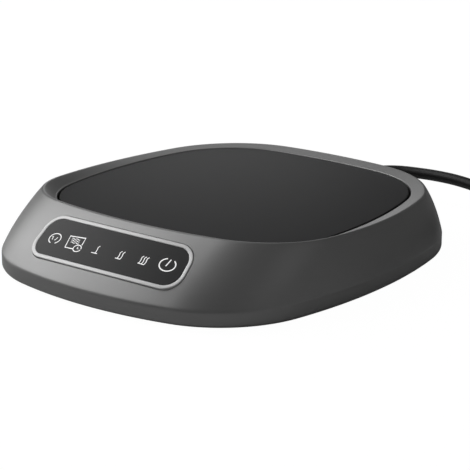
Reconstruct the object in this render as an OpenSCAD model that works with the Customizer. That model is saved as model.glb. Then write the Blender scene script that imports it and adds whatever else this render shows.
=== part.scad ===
// Electric mug warmer: a flared housing with a dished rim round a flush glass plate,
// a sloping touch panel at the front and a slim supply cord that leaves the back.
// Origin: bottom centre, on the face that the rubber feet stand on. +Z up, front at -Y.

/* [Housing] */
// Width of the housing at its widest
body_w = 118.4; // [116:0.2:124]
// From the centre to the front of the housing
body_front = 66; // [64:0.5:70]
// From the centre to the back of the housing
body_back = 66; // [64:0.5:70]
// Height from the housing's bottom edge to the top of the glass
body_h = 17.7; // [17:0.1:22]
// Height of the upright band below the flare
skirt_h = 6.1; // [5:0.1:7]
// Outward bow of the flare between its two edges
flare_bow = 0.6; // [0:0.1:1]
// Plan radius of the long sides
side_r = 164; // [140:1:200]
// Plan radius of the front
front_r = 131; // [115:1:150]
// Plan radius of the back
back_r = 167; // [140:1:200]
// Plan radius of the two front corners
front_corner_r = 35.3; // [32:0.1:40]
// Plan radius of the two back corners
back_corner_r = 40; // [36:0.1:44]
// Thickness of the moulded wall
wall = 2; // [1.6:0.1:2.4]

/* [Rim] */
// Width of the dished ring round the glass
ring_w = 4.3; // [4:0.1:5]
// Height of the ring's crest over the glass, at mid depth
crest_mid = 1.4; // [1:0.1:2]
// Rise of the crest towards the front, for each 50 mm
crest_tilt = 1.8; // [1.2:0.1:2]
// Bow of the crest line, at 50 mm from the centre
crest_bow = 1; // [0.6:0.1:1.2]
// Tangent length of the crest's round
crest_round = 0.9; // [0.5:0.1:1.2]
// Tangent length of the round between upright band and flare
shoulder_round = 1.5; // [0.8:0.1:2]

/* [Glass and heater] */
// Width of the opening that the glass lies in
well_w = 100; // [96:0.5:102]
// From the centre to the front of that opening
well_front = 41.7; // [40:0.1:42.5]
// From the centre to the back of that opening
well_back = 55.6; // [54:0.1:56.5]
// Plan radius of the opening's front corners
well_front_corner_r = 24.2; // [22:0.1:28]
// Plan radius of the opening's back corners
well_back_corner_r = 30.7; // [28:0.1:34]
// Thickness of the glass plate
glass_t = 3; // [2.5:0.1:3.5]
// Gap between glass and housing
glass_gap = 0.7; // [0.5:0.1:0.9]
// Width of the ledge that carries the glass
ledge_w = 3; // [2.5:0.1:3.5]
// Thickness of that ledge
ledge_t = 1.8; // [1.4:0.1:2]
// Thickness of the silicone seal under the glass
seal_t = 0.5; // [0.4:0.1:0.8]
// Thickness of the aluminium heat spreader
spreader_t = 1.5; // [1:0.1:1.8]
// Thickness of the film heater
heater_t = 0.4; // [0.3:0.1:0.6]
// Thickness of the insulating pad
pad_t = 2; // [1.5:0.1:2.2]
// Thickness of the steel retainer
retainer_t = 0.8; // [0.6:0.1:1]

/* [Control panel] */
// Length of the touch lens
lens_w = 55; // [50:0.2:56]
// Height of the touch lens, along the slope
lens_h = 13.4; // [12.6:0.1:14.4]
// Corner radius of the touch lens
lens_r = 4.8; // [3.6:0.1:5.4]
// Radius of the bow of its long sides, which rise towards the ends
lens_bow_r = 385; // [300:5:600]
// Width of the metal frame round the lens
bezel_w = 1.1; // [0.8:0.1:1.4]
// How far the frame stands proud of the slope
bezel_proud = 0.35; // [0.2:0.05:0.6]
// Thickness of the lens
lens_t = 1.2; // [1:0.1:1.4]
// From the end of the lens to the middle of its first key
key_margin = 5.85; // [5.2:0.05:6.4]
// Outer diameter of a touch spring
spring_d = 5.2; // [4.8:0.1:5.6]

/* [Base] */
// Thickness of the base cover
floor_t = 1.8; // [1.5:0.1:2.2]
// How far the rubber feet stand below the housing
foot_h = 1; // [0.8:0.1:2]
// Diameter of a rubber foot
foot_d = 12; // [10:0.5:14]
// Diameter of the screw bosses
boss_d = 6; // [5.4:0.1:6.4]
// Thread diameter of the base screws
screw_d = 2.6; // [2.4:0.1:2.8]

/* [Cord] */
// Diameter of the supply cord
cord_d = 3.8; // [3.4:0.1:4]
// Height of the cord's hole over the housing's bottom edge
cord_h = 8.2; // [8:0.1:8.8]
// Length of the sleeve outside the housing
sleeve_l = 11; // [9:0.5:12]

/* [Hidden] */

// ---- heights and clearances
EPS = 0.01;
fit = 0.25;                  // clearance between moulded pieces
z_bottom = foot_h;           // bottom edge of the housing
z_floor = z_bottom + floor_t;
z_skirt = z_bottom + skirt_h;
z_glass = z_bottom + body_h; // top of the glass
z_under = z_glass - glass_t;
z_ledge = z_under - seal_t;
z_ledge_low = z_ledge - ledge_t;
bottom_round = 1.2;
lip_w = 0.35;                // small chamfer at the ring's inner edge
lip_up = 0.15;               // the lip stands this far over the glass

// ---- plan outlines: four long arcs joined by four corner arcs.
// A shape is [half width, side radius, front, front radius, front corner radius,
//             back, back radius, back corner radius], all from the centre.
wide = [body_w / 2, side_r, body_front, front_r, front_corner_r,
        body_back, back_r, back_corner_r];
well = [well_w / 2, side_r - 37, well_front, front_r + 11, well_front_corner_r,
        well_back, back_r + 7, well_back_corner_r];
ring_back_w = ring_w + 1;
crest = [well[0] + ring_w, well[1] + ring_w, well[2] + ring_w, well[3] + ring_w,
         well[4] + ring_w, well[5] + ring_back_w, well[6] + ring_back_w, well[7] + ring_w];

function grown(s, k) = [for (v = s) v + k];
function mix(a, b, t) = a * (1 - t) + b * t;
function crest_z(y) = z_glass + crest_mid - crest_tilt * y / 50 + crest_bow * pow(y / 50, 2);

// where two circles meet, on the side that s names
function meet(c1, r1, c2, r2, s) =
    let (d = c2 - c1, l = norm(d), m = (r1 * r1 - r2 * r2 + l * l) / (2 * l),
         h = sqrt(max(0, r1 * r1 - m * m)), u = d / l)
    c1 + m * u + s * h * [-u[1], u[0]];
function bearing(p, c) = atan2(p[1] - c[1], p[0] - c[0]);
function arc(c, r, a0, a1, n) =
    [for (i = [0:n - 1]) let (a = mix(a0, a1, i / n)) c + r * [cos(a), sin(a)]];

// points per arc: front, front corner, side, back corner, back (half of the outline)
FINE = [6, 13, 9, 13, 6];
COARSE = [3, 7, 4, 7, 3];
function half_outline(s, n) =
    let (cs = [s[0] - s[1], 0], cf = [0, s[3] - s[2]], cb = [0, s[5] - s[6]],
         qf = meet(cs, s[1] - s[4], cf, s[3] - s[4], -1),
         qb = meet(cs, s[1] - s[7], cb, s[6] - s[7], 1))
    concat(
        arc(cf, s[3], -90, bearing(qf, cf), n[0]),
        arc(qf, s[4], bearing(qf, cf), bearing(qf, cs), n[1]),
        arc(cs, s[1], bearing(qf, cs), bearing(qb, cs), n[2]),
        arc(qb, s[7], bearing(qb, cs), bearing(qb, cb), n[3]),
        arc(cb, s[6], bearing(qb, cb), 90, n[4]),
        [[0, s[5]]]);
function outline(s, n = FINE) =
    let (h = half_outline(s, n), k = len(h))
    concat(h, [for (i = [k - 2:-1:1]) [-h[i][0], h[i][1]]]);
// middle of the front (f = true) or back corner arc, on the +X side
function corner_point(s, f) =
    let (h = half_outline(s, [1, 2, 1, 2, 1])) f ? h[2] : h[5];

// ---- the flare between the upright band and the crest; t runs from 0 to 1
function flare_shape(t, k) = [for (i = [0:7])
    mix(wide[i], crest[i], t) + k
    + ((i == 0 || i == 2 || i == 5) ? 4 * flare_bow * t * (1 - t) : 0)];
function flare(t, k = 0, dz = 0) = [for (p = outline(flare_shape(t, k)))
    [p[0], p[1], mix(z_skirt, crest_z(p[1]), t) + dz]];
function level(s, z) = [for (p = outline(s)) [p[0], p[1], z]];
function crest_line(k = 0, dz = 0) =
    [for (p = outline(grown(crest, k))) [p[0], p[1], crest_z(p[1]) + dz]];
function between(a, b, t) = [for (i = [0:len(a) - 1]) mix(a[i], b[i], t)];
function toward(a, b, l) =
    [for (i = [0:len(a) - 1]) a[i] + (b[i] - a[i]) * l / norm(b[i] - a[i])];
function bent(a, b, c, t) = [for (i = [0:len(a) - 1])
    a[i] * pow(1 - t, 2) + b[i] * 2 * t * (1 - t) + c[i] * t * t];

band_top = level(wide, z_skirt);
band_start = level(wide, z_skirt - shoulder_round);
flare_start = toward(band_top, flare(0.2), shoulder_round);
flare_end = toward(crest_line(), flare(0.85), crest_round);
lip_line = level(grown(well, lip_w), z_glass + lip_up);
ring_start = toward(crest_line(), lip_line, crest_round);

// closed section of the housing, outside first, then back down the inside
shell_levels = [
    level(grown(wide, -wall), z_bottom),
    level(grown(wide, -bottom_round), z_bottom),
    level(grown(wide, -0.3 * bottom_round), z_bottom + 0.3 * bottom_round),
    level(wide, z_bottom + bottom_round),
    band_start,
    bent(band_start, band_top, flare_start, 0.35),
    bent(band_start, band_top, flare_start, 0.7),
    flare_start,
    flare(0.35),
    flare(0.6),
    flare_end,
    bent(flare_end, crest_line(), ring_start, 0.33),
    bent(flare_end, crest_line(), ring_start, 0.67),
    ring_start,
    lip_line,
    level(well, z_glass + lip_up - lip_w),
    level(well, z_ledge),
    level(grown(well, -ledge_w), z_ledge),
    level(grown(well, -ledge_w), z_ledge_low),
    level(grown(well, 0.8 * wall - 0.4), z_ledge_low),
    crest_line(-ring_w / 2, -wall - 0.8),
    flare(0.55, -0.8 * wall, -0.7 * wall),
    flare(0.2, -0.85 * wall, -0.6 * wall),
    level(grown(wide, -wall), z_skirt - 0.5 * wall)
];

// closed ring swept round the outline through every level
module band(levels) {
    n = len(levels[0]);
    m = len(levels);
    polyhedron(
        points = [for (l = levels) each l],
        faces = [for (j = [0:m - 1], i = [0:n - 1])
            let (a = j * n, b = ((j + 1) % m) * n, k = (i + 1) % n)
            each [[a + i, b + i, b + k], [a + i, b + k, a + k]]]);
}
module plate(s, z, t, n = COARSE) {
    translate([0, 0, z])
        linear_extrude(t)
            polygon(outline(s, n));
}

// ---- control panel frame: x along the lens, y up the slope, z out of the slope
crest_front = crest[2];
slope = atan2(crest_z(-crest_front) - z_skirt, body_front - crest_front);
panel_t = 0.55;              // the panel sits this far up the flare
panel_y = -mix(body_front, crest_front, panel_t) - 4 * flare_bow * panel_t * (1 - panel_t);
panel_z = mix(z_skirt, crest_z(-crest_front), panel_t);
panel_r = (front_r + 8) / sin(slope);   // the panel follows the front's curve
bezel_deep = wall;
shelf_w = 1.1;
light_box_t = 4.2;
board_t = 1.2;
frame_deep = 4;
n_board = -bezel_deep - light_box_t;    // top face of the control board
panel_boss_x = lens_w / 2 + 1.5;
key_pitch = (lens_w - 2 * key_margin) / 5;
key_spots = [for (i = [0:5])
    let (x = (i - 2.5) * key_pitch) [x, x * x / (2 * lens_bow_r)]];

module on_slope() {
    translate([0, panel_y, panel_z])
        rotate([slope, 0, 0])
            children();
}
module pill(w, h, r) {
    union() {
        square([w - 2 * r, h], center = true);
        square([w, h - 2 * r], center = true);
        for (x = [-1, 1], y = [-1, 1])
            translate([x * (w / 2 - r), y * (h / 2 - r)])
                circle(r = r, $fn = 48);
    }
}
// rounded bar whose long sides are bowed, its ends up
function bow_point(a, r) = [r * sin(a), lens_bow_r - r * cos(a)];
function bow_corner(a, r0, r, from) =
    [for (i = [0:8]) bow_point(a, r0) + r * [cos(from + a + i * 11.25), sin(from + a + i * 11.25)]];
module bowed_pill(w, h, r) {
    turn = asin((w / 2 - r) / lens_bow_r);
    polygon(concat(
        [for (i = [1:9]) bow_point(turn * (i / 5 - 1), lens_bow_r + h / 2)],
        bow_corner(turn, lens_bow_r + h / 2 - r, r, -90),
        bow_corner(turn, lens_bow_r - h / 2 + r, r, 0),
        [for (i = [1:9]) bow_point(turn * (1 - i / 5), lens_bow_r - h / 2)],
        bow_corner(-turn, lens_bow_r - h / 2 + r, r, 90),
        bow_corner(-turn, lens_bow_r + h / 2 - r, r, 180)));
}
module lens_pill(k) {
    bowed_pill(lens_w + 2 * k, lens_h + 2 * k, lens_r + k);
}
// layer between two surfaces that follow the slope's curve
module curved_layer(n0, n1, w = 80, h = 30) {
    difference() {
        translate([0, h / 2, -panel_r])
            rotate([90, 0, 0])
                cylinder(r = panel_r + n1, h = h, $fn = 360);
        translate([0, h / 2 + 1, -panel_r])
            rotate([90, 0, 0])
                cylinder(r = panel_r + n0, h = h + 2, $fn = 360);
    }
}
module curved_pill(k, n0, n1) {
    intersection() {
        translate([0, 0, -20])
            linear_extrude(40)
                lens_pill(k);
        curved_layer(n0, n1);
    }
}

// ---- places of the bosses and of the cord
boss_spots = [for (f = [true, false], sx = [-1, 1])
    let (p = corner_point(grown(well, 0.6 - boss_d / 2), f)) [sx * p[0], p[1]]];
retainer_y = 13;
retainer_x = well_w / 2 - 2.6;
retainer_boss_d = 5;
z_retainer_top = z_under - spreader_t - heater_t - pad_t;
z_retainer = z_retainer_top - retainer_t;
retainer_spots = [for (sx = [-1, 1], sy = [-1, 1]) [sx * retainer_x, sy * retainer_y]];
cord_z = z_bottom + cord_h;
neck_d = cord_d + 2.6;
wall_y = body_back - mix(0, body_back - crest[5], (cord_z - z_skirt) / (z_glass - z_skirt))
    - 0.1;

module upper_housing() color("#4a4b4d")
    difference() {
        union() {
            band(shell_levels);
            for (p = boss_spots)
                translate([p[0], p[1], z_floor])
                    cylinder(d = boss_d, h = z_ledge_low + ledge_t / 2 - z_floor, $fn = 32);
            for (p = retainer_spots)
                translate([p[0], p[1], z_retainer_top])
                    cylinder(d = retainer_boss_d, h = z_ledge_low + ledge_t / 2 - z_retainer_top,
                        $fn = 32);
            on_slope() curved_pill(bezel_w + 2.2, -frame_deep, -1);
        }
        on_slope() {
            curved_pill(bezel_w + 0.2, -bezel_deep, 6);
            curved_pill(-0.6, -frame_deep - 3, 6);
        }
        on_slope()
            for (sx = [-1, 1])
                translate([sx * panel_boss_x, 0, n_board - 1])
                    cylinder(d = 1.7, h = 3.1, $fn = 20);
        for (p = boss_spots)
            translate([p[0], p[1], z_floor - 1])
                cylinder(d = screw_d * 0.85, h = 9, $fn = 24);
        for (p = retainer_spots)
            translate([p[0], p[1], z_retainer_top - 1])
                cylinder(d = 1.8, h = 4, $fn = 24);
        translate([0, body_back - 12, cord_z])
            rotate([-90, 0, 0])
                cylinder(d = neck_d + 0.2, h = 20, $fn = 48);
    }

// ---- base cover: plate, screw and foot seats, board standoffs, cord saddle, vents
cover_shape = grown(wide, -wall - fit);
foot_seat = 0.5;
foot_x = 26;
foot_spots = [for (sx = [-1, 1], y = [-body_front + 14, body_back - 14]) [sx * foot_x, y]];
head_d = 2 * screw_d;
head_h = 1;
board_l = 46;
board_w = 30;
board_y = 31;
board_up = 1.2;
z_board = z_floor + board_up + board_t;
board_spots = [for (sx = [-1, 1], sy = [-1, 1])
    [sx * (board_l / 2 - 3), board_y + sy * (board_w / 2 - 3)]];
clamp_y = 51.4;
clamp_x = 6;
clamp_wide = 5;
clamp_top = cord_z + cord_d / 2 + 0.5;

module base_cover() color("#3a3b3d")
    difference() {
        union() {
            plate(cover_shape, z_bottom, floor_t, FINE);
            for (p = board_spots)
                translate([p[0], p[1], z_floor - EPS])
                    cylinder(d = 5, h = board_up + EPS, $fn = 24);
            for (sx = [-1, 1])
                translate([sx * clamp_x, clamp_y, z_floor - EPS])
                    cylinder(d = clamp_wide, h = cord_z - z_floor + EPS, $fn = 24);
            translate([-clamp_x, clamp_y - 1.5, z_floor - EPS])
                cube([2 * clamp_x, 3, cord_z - cord_d / 2 - z_floor + EPS]);
        }
        for (p = boss_spots)
            translate([p[0], p[1], z_bottom - 1]) {
                cylinder(d = screw_d + 0.4, h = floor_t + 2, $fn = 24);
                cylinder(d = head_d + 0.6, h = head_h + 1, $fn = 32);
            }
        for (p = foot_spots)
            translate([p[0], p[1], z_bottom - 1])
                cylinder(d = foot_d + 0.2, h = foot_seat + 1, $fn = 48);
        for (p = board_spots)
            translate([p[0], p[1], z_floor - 1])
                cylinder(d = 1.6, h = board_up + 2, $fn = 16);
        for (sx = [-1, 1])
            translate([sx * clamp_x, clamp_y, cord_z - 5])
                cylinder(d = 1.6, h = 6, $fn = 16);
        for (i = [-3:3])
            translate([i * 5 - 0.8, -27, z_bottom - 1])
                cube([1.6, 16, floor_t + 2]);
    }

module rubber_feet() color("#1c1c1d")
    for (p = foot_spots)
        translate([p[0], p[1], 0])
            rotate_extrude($fn = 48)
                polygon([[0, 0], [foot_d / 2 - 0.6, 0], [foot_d / 2, 0.4],
                         [foot_d / 2, foot_h + foot_seat], [0, foot_h + foot_seat]]);

// pan head screw with its head down at z = 0 and its shank up; s is the shank's length
module screw(d, s, hd, hh) {
    difference() {
        union() {
            cylinder(d = hd, h = hh, $fn = 24);
            cylinder(d = d, h = hh + s, $fn = 20);
        }
        for (a = [0, 90])
            rotate([0, 0, a])
                translate([-hd * 0.3, -0.2, -0.1])
                    cube([hd * 0.6, 0.4, hh * 0.5 + 0.1]);
    }
}

module base_screws() color("#9a9c9f")
    for (p = boss_spots)
        translate([p[0], p[1], z_bottom])
            screw(screw_d * 0.84, floor_t - head_h + 6, head_d, head_h);

// ---- glass and heater stack
stack_in = boss_d - 0.2;     // the stack keeps clear of the bosses
pad_in = stack_in + 1.5;
sensor_at = [-8, 6];
sensor_t = 1.8;
fuse_at = [10, 6];
heater_end = [-15.3, 6];     // where the heater's two leads are soldered
fuse_d = 3.2;
fuse_l = 9;
z_heater_low = z_under - spreader_t - heater_t;
window_w = 40;
window_l = 22;

module glass_plate() color("#1b1c1e")
    plate(grown(well, -glass_gap), z_under, glass_t, FINE);
module glass_seal() color("#5a5a5c")
    difference() {
        plate(grown(well, -glass_gap - 0.3), z_ledge, seal_t);
        plate(grown(well, -ledge_w + 0.2), z_ledge - 1, seal_t + 2);
    }
module heat_spreader() color("#c9ccd0")
    plate(grown(well, -stack_in), z_under - spreader_t, spreader_t);
module film_heater() color("#b5651d")
    plate(grown(well, -pad_in), z_heater_low, heater_t);
module insulation_pad() color("#d8d3c6")
    difference() {
        plate(grown(well, -pad_in), z_retainer_top, pad_t);
        translate([sensor_at[0], sensor_at[1], z_retainer_top - 1])
            cylinder(d = 9, h = pad_t + 2, $fn = 32);
        translate([fuse_at[0] - fuse_l / 2 - 2, fuse_at[1] - 3, z_retainer_top - 1])
            cube([fuse_l + 4, 6, pad_t + 2]);
        translate([heater_end[0] - 2, heater_end[1] - 2.5, z_retainer_top - 1])
            cube([6.2, 5.6, pad_t + 2]);
    }
module heater_retainer() color("#a9abad")
    difference() {
        union() {
            plate(grown(well, -pad_in - 1), z_retainer, retainer_t);
            for (sx = [-1, 1], sy = [-1, 1])
                translate([sx * (retainer_x - 5) - 8, sy * retainer_y - 4, z_retainer])
                    cube([16, 8, retainer_t]);
        }
        translate([-window_w / 2, sensor_at[1] - window_l / 2, z_retainer - 1])
            cube([window_w, window_l, retainer_t + 2]);
        for (p = retainer_spots)
            translate([p[0], p[1], z_retainer - 1])
                cylinder(d = 2.2, h = retainer_t + 2, $fn = 24);
        for (sx = [-1, 1])
            translate([sx * 30, 0, z_retainer - 1])
                cylinder(d = 10, h = retainer_t + 2, $fn = 32);
    }
module retainer_screws() color("#9a9c9f")
    for (p = retainer_spots)
        translate([p[0], p[1], z_retainer - 1.2])
            screw(1.7, retainer_t + 2.4, 4, 1.2);
module temperature_sensor() color("#2e7d4f")
    translate([sensor_at[0], sensor_at[1], z_heater_low - sensor_t]) {
        cylinder(d = 7, h = sensor_t, $fn = 32);
        translate([0, 0, -0.8])
            cylinder(d = 3, h = 0.9, $fn = 24);
    }
module thermal_fuse() color("#c8c2b0")
    translate([fuse_at[0] - fuse_l / 2, fuse_at[1], z_heater_low - fuse_d / 2])
        rotate([0, 90, 0])
            union() {
                cylinder(d = fuse_d, h = fuse_l, $fn = 32);
                translate([0, 0, -1.5])
                    cylinder(d = 0.8, h = fuse_l + 3, $fn = 16);
            }

// ---- control panel
panel_board_l = lens_w + 9;
panel_board_w = lens_h - 0.4;

module control_bezel() color("#d4d6d8")
    on_slope()
        difference() {
            curved_pill(bezel_w, -bezel_deep, bezel_proud);
            translate([0, 0, -20])
                linear_extrude(40)
                    lens_pill(-shelf_w);
            curved_pill(0.05, -lens_t, 6);
        }
module touch_lens() color("#2a2b2d")
    on_slope() curved_pill(0, -lens_t, 0.1);
module light_box() color("#f0f0ee")
    on_slope()
        difference() {
            intersection() {
                translate([0, 0, n_board])
                    linear_extrude(20)
                        lens_pill(-shelf_w - 0.3);
                curved_layer(-16, -lens_t - 0.1);
            }
            for (p = key_spots)
                translate([p[0], p[1], n_board - 1])
                    cylinder(d = spring_d + 0.5, h = 20, $fn = 32);
        }
// round wire spring of n turns, standing on z = 0
module spring(d, wire, h, turns) {
    steps = 8;
    n = turns * steps;
    pts = [for (i = [0:n]) let (a = 360 * i / steps)
        [(d - wire) / 2 * cos(a), (d - wire) / 2 * sin(a), wire / 2 + (h - wire) * i / n]];
    tube(pts, wire, 4);
}
module touch_springs() color("#c0a060")
    on_slope()
        for (p = key_spots)
            translate([p[0], p[1], n_board + EPS])
                spring(spring_d, 0.45, -n_board - lens_t - 0.1
                    - pow(abs(p[0]) + spring_d / 2, 2) / (2 * panel_r), 4);
module indicator_leds() color("#f5f3e2")
    on_slope()
        for (p = key_spots)
            translate([p[0] - 1, p[1] - 0.6, n_board])
                cube([2, 1.2, 0.8]);
module control_board() color("#1f5b3a")
    on_slope()
        translate([0, 0, n_board - board_t])
            linear_extrude(board_t)
                difference() {
                    pill(panel_board_l, panel_board_w, 2);
                    for (sx = [-1, 1])
                        translate([sx * panel_boss_x, 0])
                            circle(d = 2.2, $fn = 24);
                }
chip_w = 5;
chip_t = 1;
part_l = 1.6;
module touch_chip() color("#222222")
    on_slope()
        translate([0, 0, n_board - board_t]) {
            translate([-1.5 * key_pitch, -chip_w / 2, -chip_t])
                cube([chip_w, chip_w, chip_t]);
            for (i = [0:2])
                translate([1.4 * key_pitch + 2 * i * part_l, -part_l / 3, -part_l / 3])
                    cube([part_l, 2 * part_l / 3, part_l / 3]);
        }
module control_board_screws() color("#9a9c9f")
    on_slope()
        for (sx = [-1, 1])
            translate([sx * panel_boss_x, 0, n_board - board_t - 1])
                screw(1.68, board_t + 1.8, 3.8, 1);

// ---- power board
module power_board() color("#1f5b3a")
    translate([0, board_y, z_board - board_t])
        linear_extrude(board_t)
            difference() {
                pill(board_l, board_w, 1.5);
                for (sx = [-1, 1], sy = [-1, 1])
                    translate([sx * (board_l / 2 - 3), sy * (board_w / 2 - 3)])
                        circle(d = 2, $fn = 20);
            }
module power_board_screws() color("#9a9c9f")
    for (p = board_spots)
        translate([p[0], p[1], z_board + 1])
            mirror([0, 0, 1])
                screw(1.5, board_t + board_up + 0.8, 3.4, 1);
module on_board(x, y) {
    translate([x, board_y + y, z_board])
        children();
}
module power_transistors() color("#2b2b2b")
    for (x = [4, 13])
        on_board(x, -3) {
            translate([-3.2, -3, 0])
                cube([6.4, 6, 2.2]);
            translate([-2.6, 3 - EPS, 0])
                cube([5.2, 1.2, 0.6]);
        }
module smoothing_capacitor() color("#b9bcc0")
    on_board(-10, 7.5) {
        translate([-3.3, -3.3, 0])
            cube([6.6, 6.6, 0.8]);
        translate([0, 0, 0.8 - EPS])
            cylinder(d = 6.3, h = 3.6, $fn = 40);
    }
module power_inductor() color("#3c3c3e")
    on_board(9, 7.5)
        difference() {
            translate([-3.5, -3.5, 0])
                cube([7, 7, 3]);
            translate([0, 0, 2.6])
                cylinder(d = 5, h = 1, $fn = 32);
        }
module buzzer() color("#1a1a1a")
    on_board(-6, -3)
        difference() {
            cylinder(d = 9, h = 3.2, $fn = 40);
            translate([0, 0, 2.4])
                cylinder(d = 2, h = 1, $fn = 20);
        }
socket_h = 3;
socket_w = 4.5;
heat_socket_l = 9.6;
supply_socket_l = 8;
strip_socket_w = 3;
strip_socket_h = 2;
heat_plug = [-17.8, board_y - board_w / 2 + 1];
supply_plug_y = board_y + board_w / 2 - 2;
strip_w = 8;
strip_v = 4;
strip_n = n_board - board_t - strip_socket_h;
module wire_connectors() color("#efece0") {
    translate([heat_plug[0], heat_plug[1], z_board])
        cube([heat_socket_l, socket_w, socket_h]);
    translate([-supply_socket_l / 2, supply_plug_y - socket_w, z_board])
        cube([supply_socket_l, socket_w, socket_h]);
    translate([-strip_w / 2 - 1, board_y - board_w / 2 + 0.5, z_board])
        cube([strip_w + 2, strip_socket_w, strip_socket_h]);
    on_slope()
        translate([-strip_w / 2 - 1, -strip_v - strip_socket_w / 2, strip_n])
            cube([strip_w + 2, strip_socket_w, strip_socket_h]);
}

// ---- wires. A tube is swept along its points; every ring is square to the path
function ahead(p, i) = let (n = len(p))
    i == 0 ? p[1] - p[0] : i == n - 1 ? p[n - 1] - p[n - 2] : p[i + 1] - p[i - 1];
function unit(v) = v / norm(v);
function ring_at(c, dir, d, sides) =
    let (t = unit(dir),
         ref = abs(t[2]) > 0.9 ? [1, 0, 0] : [0, 0, 1],
         u = unit(cross(ref, t)), v = cross(t, u))
    [for (k = [0:sides - 1]) let (a = 360 * (k + 0.5) / sides)
        c + d / 2 * (cos(a) * u + sin(a) * v)];
module tube(p, d, sides) {
    n = len(p);
    polyhedron(
        points = [for (i = [0:n - 1]) each ring_at(p[i], ahead(p, i), d, sides)],
        faces = concat(
            [[for (k = [0:sides - 1]) k]],
            [for (i = [0:n - 2], k = [0:sides - 1])
                let (a = i * sides, b = a + sides, j = (k + 1) % sides)
                each [[a + k, b + j, a + j], [a + k, b + k, b + j]]],
            [[for (k = [sides - 1:-1:0]) (n - 1) * sides + k]]));
}

// a lead that leaves a along da and reaches b along db, each with a short straight end
function lead(a, da, b, db) =
    let (p = a + unit(da), q = b - unit(db))
    concat([a], [for (i = [0:6]) let (t = i / 6, r = 1 - t)
        p * r * r * r + (p + da) * 3 * r * r * t + (q - db) * 3 * r * t * t + q * t * t * t],
        [b]);
function side(p, k) = [for (i = [0:len(p) - 1])
    let (d = unit(ahead(p, i))) p[i] + k * [-d[1], d[0]]];

// flat cable in the plane x = 0, as [y, z]: off the panel's board, along the floor, up
strip_t = 0.3;
strip_land = body_front / 3;  // the flat cable reaches the floor this far behind the front
strip_rise = board_y - board_w / 2 - 12;
strip_off = [panel_y - strip_v * cos(slope) - strip_n * sin(slope),
             panel_z - strip_v * sin(slope) + strip_n * cos(slope)];
strip_path = concat(
    lead(strip_off, 2 * [sin(slope), -cos(slope)], [strip_land - body_front, z_floor + 0.4], [3, 0]),
    lead([strip_rise, z_floor + 0.4], [4, 0],
        [board_y - board_w / 2 + 0.5, z_board + strip_socket_h / 2], [4, 0]));
module ribbon_cable() color("#e8e8e6")
    rotate([90, 0, 90])
        translate([0, 0, -strip_w / 2])
            linear_extrude(strip_w)
                polygon(concat(side(strip_path, -strip_t / 2),
                    [for (i = [len(strip_path) - 1:-1:0]) side(strip_path, strip_t / 2)[i]]));

lead_z = z_board + socket_h / 2;
function lead_from(k) = [heat_plug[0] + 1.4 + 2.2 * k, heat_plug[1], lead_z];
module heater_leads() color("#b03030") {
    for (k = [0:1])
        tube(lead(lead_from(k), [0, -5, 0],
            [heater_end[0] + 2.3 * k, heater_end[1] + 1.2 - 2.2 * k, z_heater_low],
            [0, 0, 3]), 1, 6);
    for (k = [2:3])
        tube(lead(lead_from(k), [0, -4, 0],
            [sensor_at[0] + 2.2 * (k - 2.5), sensor_at[1] + 2.4, z_heater_low - sensor_t],
            [0, 0, 2]), 0.7, 6);
}

// ---- cord: sleeve in the wall, clamp, free stretch, coil, tail and plug
sleeve_end = wall_y + sleeve_l;
neck_in = wall_y - 5.5;
flange_d = neck_d + 1.6;
flange_t = 1.6;
jacket_end = clamp_y - clamp_wide / 2 - 0.6;

module strain_relief() color("#161617")
    translate([0, 0, cord_z])
        rotate([-90, 0, 0])
            rotate_extrude($fn = 48)
                polygon(concat(
                    [[0, neck_in], [flange_d / 2, neck_in], [flange_d / 2, neck_in + flange_t],
                     [neck_d / 2, neck_in + flange_t], [neck_d / 2, wall_y + 2]],
                    [for (i = [0:3])
                        let (y = wall_y + 2 + i * (sleeve_l - 3) / 4,
                             r = mix(neck_d / 2, cord_d / 2 + 0.6, (i + 0.5) / 4))
                        each [[r - 0.35, y + 0.01], [r - 0.35, y + 0.7], [r, y + 0.71],
                              [r - 0.1, y + (sleeve_l - 3) / 4]]],
                    [[cord_d / 2 + 0.5, sleeve_end - 0.9], [cord_d / 2 + 0.35, sleeve_end],
                     [0, sleeve_end]]));
module supply_leads() color("#202021") {
    translate([0, jacket_end, cord_z])
        rotate([-90, 0, 0])
            cylinder(d = cord_d, h = neck_in - jacket_end, $fn = 32);
    for (sx = [-1, 1])
        tube(lead([sx * 0.9, jacket_end + 0.5, cord_z], [0, -1, 0],
            [sx * 1.6, supply_plug_y, lead_z], [0, -1, 0]), 1.3, 6);
}
module cord_clamp() color("#2a2a2b")
    difference() {
        translate([-clamp_x - 2.5, clamp_y - clamp_wide / 2, cord_z])
            cube([2 * clamp_x + 5, clamp_wide, clamp_top - cord_z]);
        translate([0, clamp_y - clamp_wide, cord_z])
            rotate([-90, 0, 0])
                cylinder(d = cord_d + 0.1, h = 2 * clamp_wide, $fn = 48);
        for (sx = [-1, 1])
            translate([sx * clamp_x, clamp_y, cord_z - 1])
                cylinder(d = 2, h = 6, $fn = 20);
    }
module clamp_screws() color("#9a9c9f")
    for (sx = [-1, 1])
        translate([sx * clamp_x, clamp_y, clamp_top + 1])
            mirror([0, 0, 1])
                screw(1.5, clamp_top - cord_z + 4, 3.6, 1);

// route of the free stretch, from the sleeve's end to the coil
table = cord_d / 2;
cord_path = [for (p = [
    [0, 0, 0], [0, 2, 0], [1, 5.5, 0], [3.5, 9, 0], [7.5, 11.5, 0], [13, 13, 0],
    [20, 14, 0], [28, 14.5, -0.3], [36, 14.5, -1.2], [45, 14, -3], [54, 13.5, -5.4],
    [61, 13.5, -6.9]]) [p[0], p[1] + sleeve_end, p[2] + cord_z]];

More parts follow.
